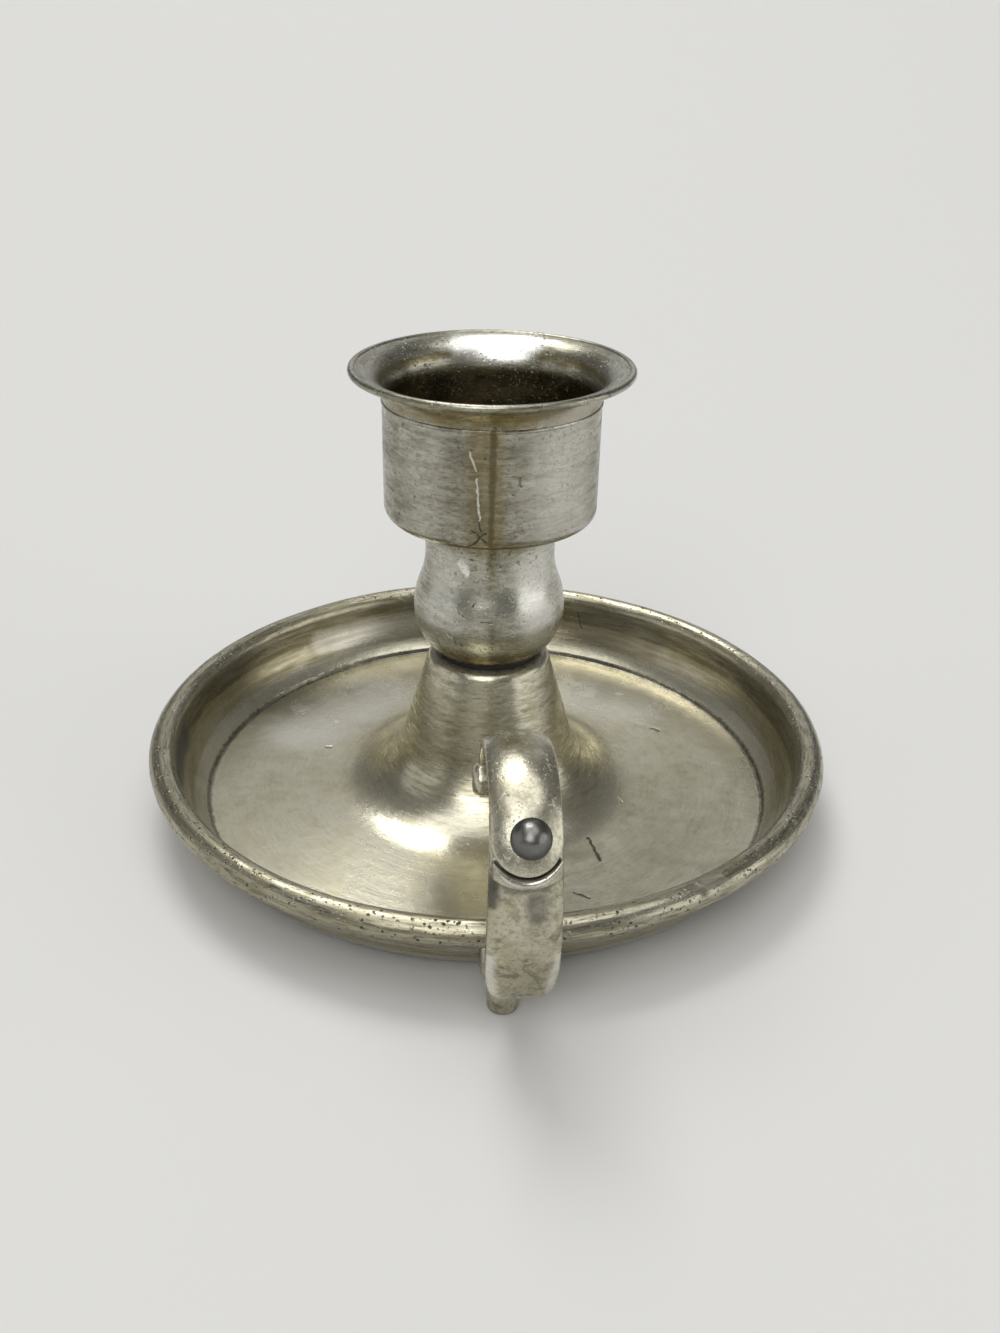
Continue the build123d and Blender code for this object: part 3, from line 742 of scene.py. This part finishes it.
cup_mesh_gap = 0.4
cup_mesh_turn = 384


def candle_cup_outline():
    """Half section of the cup: up the inside, round the lip, and down the outside."""
    bore = cup_radius - cup_sheet
    slant = cup_sheet * sqrt(2)
    dimple = cup_floor_height - screw_cone_height
    flare = (cup_radius + cup_flare_radius, cup_flare_height)
    seat = (screw_seat_radius, cup_floor_height)
    inner_corner = (bore, cup_floor_height)
    outer_corner = (cup_radius, cup_floor_height - cup_sheet)
    under = (screw_seat_radius + slant - cup_sheet, cup_floor_height - cup_sheet)
    lip = (flare[0], cup_flare_height + cup_flare_radius + cup_sheet / 2)
    bead = (cup_radius - cup_bead_radius / 2, cup_flare_height)
    outline = [(pan_hole_radius, dimple), seat]
    outline += eased(seat, inner_corner, (bore, cup_flare_height), cup_corner_radius - cup_sheet, 8)
    outline += arc(flare, cup_flare_radius + cup_sheet, 180, 97, 6)
    outline += arc(lip, cup_lip_radius, 148, -145, 14)
    outline += arc(flare, cup_flare_radius, 97, 176, 6)
    outline += arc(bead, cup_bead_radius, 62, -58, 20)
    outline += eased((cup_radius, cup_flare_height), outer_corner, under, cup_corner_radius, 10)
    outline += [under, (pan_hole_radius, dimple - slant)]
    return outline


def worn_cup(point):
    """A little out of round, with the sharp upright fold and the bruise where the sheet tore."""
    radius = hypot(point.x, point.y)
    azimuth = Vector((point.x, point.y)).angle_signed(Vector((0, -1))) if radius else 0.0
    push = ripple(point, cup_wave_length, cup_wave_seed) * cup_wave
    push.z *= cup_wave_lift
    outward = Vector((point.x, point.y, 0)) / max(radius, 1e-6)
    if radius > worn_bore_radius and point.z < worn_top_height:
        drift = fold_drift * (fold_top_height - point.z) / fold_height
        fold_middle = -(fold_turn - drift) / degrees_per_radian
        across = (azimuth - fold_middle) * radius
        length = exp(-(((point.z - fold_middle_height) / fold_half_length) ** 4))
        ridge = fold_ridge * exp(-((across / fold_ridge_width) ** 2))
        dent = fold_dent * exp(-(((across - fold_dent_side) / fold_dent_width) ** 2))
        push += outward * length * (ridge - dent)
        bruise_across = (azimuth + bruise_turn) * radius / bruise_width
        bruise_up = (point.z - bruise_height) / bruise_rise
        push -= outward * bruise_depth * exp(-(bruise_across**2) - bruise_up**2)
    return point + push


def cup_lip_stain_and_bore_shade(finish, place):
    """The hollow under the lip is stained, and painted shade darkens the whole bore in a brown
    tone.
    """
    radius, height = radius_and_height(finish, place)
    hollow = band(finish, height, 49.0, 50.4, 0.4)
    hollow = maths(finish, "MULTIPLY", hollow, band(finish, radius, 11.9, 13.2, 0.3))
    bore = ramp(finish, radius, 11.72, 11.6)
    bore = maths(finish, "MULTIPLY", bore, ramp(finish, height, 48.9, 48.3))
    hollow = maths(finish, "MULTIPLY", hollow, 0.8)
    return maths(finish, "MAXIMUM", hollow, maths(finish, "MULTIPLY", bore, 0.75))


def cup_bore_patchy_shade(finish, place):
    """Painted shade darkens the bore in patches."""
    radius, height = radius_and_height(finish, place)
    bore = ramp(finish, radius, 11.72, 11.6)
    bore = maths(finish, "MULTIPLY", bore, ramp(finish, height, 48.8, 47.8))
    patches = ramp(finish, cloud(finish, place, 0.3, 4.0, 0.6), 0.40, 0.62, 0.15, 0.75)
    return maths(finish, "MULTIPLY", bore, patches)


cup_marks_and_dark_reflection = [
    # The first, wide and faint, is a painted dark reflection left of the middle; the rest are
    # marks, scratches and the tear.
    (on_side(-106, 11.85, 38.0), on_side(-106, 11.85, 46.5), 4.5, 0.12),
    (on_side(-114, 11.85, 46.9), on_side(-109, 11.85, 45.8), 1.5, 0.3),
    (on_side(-82, 11.85, 46.6), on_side(-68, 11.85, 46.9), 1.3, 0.22),
    (on_side(-104, 11.85, 40.4), on_side(-100, 11.85, 38.6), 1.0, 0.3),
    (on_side(-104, 11.75, 38.1), on_side(-98.5, 11.8, 37.0), 0.14, 1.0),
    (on_side(-98.5, 11.8, 37.0), on_side(-93, 11.5, 36.2), 0.19, 1.0),
    (on_side(-107, 11.5, 36.0), on_side(-102, 11.75, 36.6), 0.19, 1.0),
    (on_side(-102, 11.75, 36.6), on_side(-97, 11.85, 37.7), 0.21, 1.0),
    (on_side(-100, 11.85, 38.8), on_side(-99, 11.85, 38.0), 0.17, 1.0),
    (on_side(-80, 11.85, 43.6), on_side(-79.5, 11.85, 42.8), 0.2, 0.8),
    (on_side(-112, 11.85, 47.6), on_side(-109, 11.85, 46.3), 0.22, 0.5),
    (on_side(-109, 11.85, 45.4), on_side(-108, 11.85, 44.9), 0.2, 0.5),
    (on_side(-93.3, 11.85, 48.5), on_side(-93.6, 11.85, 42.0), 0.5, 0.55),
    (on_side(-93.6, 11.85, 42.0), on_side(-94.0, 11.85, 36.3), 0.42, 0.6),
]
cup_painted_highlights = [
    # Painted highlights: one inside the flare at the back, a lighter band on each side, and a
    # bright line down the fold's ridge.
    (on_side(68, 13.0, 50.6), on_side(102, 13.0, 50.6), 2.6, 0.85),
    (on_side(-54, 11.85, 38.0), on_side(-54, 11.85, 47.0), 6.5, 0.35),
    (on_side(-134, 11.85, 38.0), on_side(-134, 11.85, 47.0), 4.5, 0.14),
    (on_side(-105, 11.9, 46.4), on_side(-101.5, 11.95, 44.4), 0.13, 0.6),
    (on_side(-101.3, 11.95, 43.6), on_side(-99.6, 11.95, 39.2), 0.15, 0.7),
    (on_side(-100, 11.9, 36.7), on_side(-97.6, 11.9, 37.6), 0.12, 0.9),
]
cup_stains = [
    (on_side(-100, 12.3, 49.6), on_side(-60, 12.3, 49.6), 1.2, 0.8),
    (on_side(-98, 11.8, 47.5), on_side(-97, 11.8, 37.0), 2.8, 0.7),
    (on_side(-93.3, 11.85, 48.4), on_side(-94.0, 11.85, 36.2), 0.8, 1.0),
    (on_side(-93.5, 12.4, 49.4), on_side(-93.5, 13.4, 50.6), 0.8, 0.9),
]
cup_outline = spaced(candle_cup_outline(), cup_mesh_gap)
candle_cup = turned("candle_cup_spun", cup_outline, cup_mesh_turn, worn_cup)
cup_tones = ((0.50, 0.49, 0.41), (0.23, 0.215, 0.155))
cup_finish = pewter(
    "cup_pewter", 0.8, 0.4, 0.7, cup_stains, cup_marks_and_dark_reflection, cup_painted_highlights,
    stained_and_shaded=cup_lip_stain_and_bore_shade, shade_and_dirt_zones=cup_bore_patchy_shade, tones=cup_tones,
)
finished(candle_cup, cup_finish)
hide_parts("candle_cup")
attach(candle_cup, "root")

# Tie screw, washer and nut: plain steel. The slotted screw lies flush in the cup's floor and
# runs down through knop and stem, where the washer and nut draw the stack together.
screw_steel = steel("screw_steel", 0.5, 0.3)
for name in ("tie_screw", "stem_washer", "tie_nut"):
    finished(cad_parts[name], screw_steel)

# Handle: two cast pewter straps, a lower scroll soldered under the pan's rim and an upper one
# with a curled end, whose round, lipped tongue is pinned over the lower by the thumb knob. A
# short peg under the foot keeps the handle's end off the table.
cast_grid = 0.12
cast_passes = 8
knob_grid = 0.1
knob_passes = 4


def softened(piece, grid, passes):
    """Round off a cast piece's edges evenly, as casting and years of handling do."""
    even = piece.modifiers.new("even", "REMESH")
    even.mode = "VOXEL"
    even.voxel_size = grid * mm
    even.use_smooth_shade = True
    worn = piece.modifiers.new("worn", "SMOOTH")
    worn.factor = 0.5
    worn.iterations = passes


def bent_bar(name, path, thickness, sides=14):
    """A round bar along a path of points, closed at both ends, with a radius at each point."""
    verts, faces = [], []
    last = len(path) - 1
    rough_up = Vector((0.0, 0.4, 1.0))
    for i, (point, radius) in enumerate(zip(path, thickness)):
        ahead = (path[min(i + 1, last)] - path[max(i - 1, 0)]).normalized()
        across = ahead.cross(rough_up).normalized()
        up = across.cross(ahead)
        for k in range(sides):
            angle = 2 * pi * k / sides
            verts.append((point + (across * cos(angle) + up * sin(angle)) * radius) * mm)
    for i in range(last):
        for k in range(sides):
            here, there = i * sides + k, i * sides + (k + 1) % sides
            faces.append((here, there, there + sides, here + sides))
    faces.append(tuple(range(sides)))
    faces.append(tuple(last * sides + k for k in range(sides)))
    return solid(name, verts, faces, 60.0)


shoulder_centre = (40.325, 20.114)
shoulder_radius = 7.3
tip_heading = 24.0
tip_centre = 1.373
lip_ring_radius = 3.9
lip_bar_radius = 0.44
lip_lift = 0.8
lip_reach = 60
lip_half_width = 3.35
lip_step = 6
lip_taper = 0.75


def lip_path():
    """Centre line of the lip, round the tongue's tip and up both of its sides."""
    out = Vector((0.0, -cos(radians(tip_heading)), sin(radians(tip_heading))))
    along = Vector((0.0, sin(radians(tip_heading)), cos(radians(tip_heading))))
    centre = Vector((0.0, -shoulder_centre[0], shoulder_centre[1]))
    points = []
    for degree in range(-lip_reach, lip_reach + 1, lip_step):
        turn = radians(degree)
        side = lip_half_width * sin(turn)
        reach = tip_centre - lip_ring_radius * cos(turn)
        level = sqrt((shoulder_radius + lip_lift) ** 2 - reach**2)
        points.append(centre + Vector((side, 0.0, 0.0)) + along * reach + out * level)
    return points


lip_line = lip_path()
lip_shares = [abs(2 * i / (len(lip_line) - 1) - 1) for i in range(len(lip_line))]
lip_radii = [lip_bar_radius * (1 - lip_taper * share**3) for share in lip_shares]
lip = bent_bar("tongue_lip", lip_line, lip_radii)
knob_tones = ((0.22, 0.22, 0.21), (0.12, 0.115, 0.10))
# Painted shade: a dark mark over the knob's underside, below its lit top.
knob_low, knob_high = (Vector(corner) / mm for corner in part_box("thumb_knob"))
knob_radius = (knob_high.x - knob_low.x) / 2
knob_foot = Vector((0.0, knob_low.y + 0.7 * knob_radius, knob_high.z - 2.0 * knob_radius))
knob_side = Vector((0.9, 0.0, 0.0))
knob_underside_shade = [(knob_foot - knob_side, knob_foot + knob_side, 1.5 * knob_radius, 1.0)]
# Painted shadow in an arc under the lip and in the strap's top left corner, and a painted dark
# reflection below the lip.
lower_painted_shade = [
    ((0.9, -48.0, 18.6), (1.0, -48.0, 17.2), 1.5, 0.55),
    ((-3.0, -47.6, 20.6), (-3.2, -47.8, 18.6), 1.3, 0.85),
    ((-2.9, -47.3, 21.6), (-1.6, -47.8, 20.0), 0.7, 0.6),
    ((-1.6, -47.8, 20.0), (1.6, -47.8, 20.0), 0.8, 0.6),
    ((1.6, -47.8, 20.0), (2.9, -47.3, 21.6), 0.7, 0.6),
]
# Painted highlights along the lower strap's side and bottom edges.
lower_painted_highlights = [
    ((-3.1, -47.2, 12.0), (-2.6, -45.8, 6.2), 0.7, 0.5),
    ((-2.4, -45.6, 5.4), (2.2, -45.8, 5.4), 0.8, 0.5),
    ((2.4, -46.0, 6.0), (3.3, -47.4, 12.0), 0.7, 0.5),
]
handle_finish = pewter("handle_pewter", 0.5, 0.1, 0.55, turned_lines=False)
# The lower strap and peg wear a darker, duller copy of the handle's pewter: painted shade.
lower_shaded_finish = pewter(
    "lower_handle_shaded_pewter", 0.85, 0.1, 0.4, (), lower_painted_shade, lower_painted_highlights, turned_lines=False
)
knob_finish = pewter(
    "knob_pewter", 0.4, 0.1, 0.5, (), knob_underside_shade,
    tones=knob_tones, polish=0.26, edge=0.3, turned_lines=False,
)
# The lip wears a lighter copy of the pewter: a painted highlight along its crest.
lip_highlight_tones = ((0.70, 0.68, 0.60), (0.45, 0.43, 0.34))
finished(lip, pewter("lip_highlight_pewter", 0.6, 0.1, 0.5, tones=lip_highlight_tones, turned_lines=False))
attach(lip, "root")
finished(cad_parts["upper_scroll"], handle_finish)
softened(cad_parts["upper_scroll"], cast_grid, cast_passes)
for name in ("lower_scroll", "foot_peg"):
    finished(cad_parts[name], lower_shaded_finish)
    softened(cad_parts[name], cast_grid, cast_passes)
finished(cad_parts["thumb_knob"], knob_finish)
softened(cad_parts["thumb_knob"], knob_grid, knob_passes)

# Table: a plain pale sheet, far larger than the part, that takes its soft shadow.
table_radius = 12.0
table_drop = 0.02 * mm
table_sides = 96
table_finish = bpy.data.materials.new("table_pale")
table_finish.use_nodes = True
table_shader = table_finish.node_tree.nodes["Principled BSDF"]
table_shader.inputs["Base Color"].default_value = (0.60, 0.595, 0.58, 1.0)
table_shader.inputs["Roughness"].default_value = 0.75
table_mesh = bpy.data.meshes.new("table")
table_turns = [2 * pi * i / table_sides for i in range(table_sides)]
table_ring = [(table_radius * cos(a), table_radius * sin(a), -table_drop) for a in table_turns]
table_mesh.from_pydata(table_ring, [], [tuple(range(table_sides))])
table = bpy.data.objects.new("table", table_mesh)
bpy.context.scene.collection.objects.link(table)
finished(table, table_finish)

# Lamps: wide soft lights overhead, in front and low on each side, a narrower one high at the
# back that makes the bright spots, and a weak one low behind, in a grey room.
camera_azimuth = -94.9


def soft_light(name, azimuth, elevation, spread, strength):
    """A soft round light far off, by its azimuth from the camera's side and its elevation."""
    light = bpy.data.lights.new(name, "SUN")
    light.angle = radians(spread)
    light.energy = strength
    holder = bpy.data.objects.new(name, light)
    bpy.context.scene.collection.objects.link(holder)
    azimuth = radians(azimuth + camera_azimuth)
    elevation = radians(elevation)
    out = Vector((cos(elevation) * cos(azimuth), cos(elevation) * sin(azimuth), sin(elevation)))
    holder.rotation_euler = out.to_track_quat("Z", "Y").to_euler()


soft_light("key_light", -158, 60, 26, 1.15)
soft_light("dome_light", 0, 86, 62, 1.25)
soft_light("front_light", -12, 40, 40, 1.0)
soft_light("left_light", -80, 9, 54, 0.34)
soft_light("right_light", 74, 9, 54, 0.8)
soft_light("back_light", 180, 24, 44, 0.18)

room = bpy.data.worlds.new("room")
room.use_nodes = True
room.node_tree.nodes["Background"].inputs["Color"].default_value = (0.18, 0.18, 0.177, 1.0)
room.node_tree.nodes["Background"].inputs["Strength"].default_value = 1.0
bpy.context.scene.world = room

# Camera: a hand's breadth in front of the handle, looking down on the part.
camera_place = (-10.22, -135.86, 88.52)
camera_pitch = 28.02
camera_heading = 4.89
camera_roll = 1.17
focal_share = 1300 / 1333
camera = bpy.data.cameras.new("camera")
camera.sensor_width = 36.0
camera.lens = camera.sensor_width * focal_share
camera.clip_start = 0.005
camera.clip_end = 100.0
camera_holder = bpy.data.objects.new("camera", camera)
bpy.context.scene.collection.objects.link(camera_holder)
turn = Matrix.Rotation(radians(-camera_heading), 4, "Z")
tilt = Matrix.Rotation(radians(90 - camera_pitch), 4, "X")
lean = Matrix.Rotation(radians(camera_roll), 4, "Z")
camera_holder.matrix_world = Matrix.Translation(Vector(camera_place) * mm) @ turn @ tilt @ lean
bpy.context.scene.camera = camera_holder
bpy.context.scene.view_settings.view_transform = "Standard"
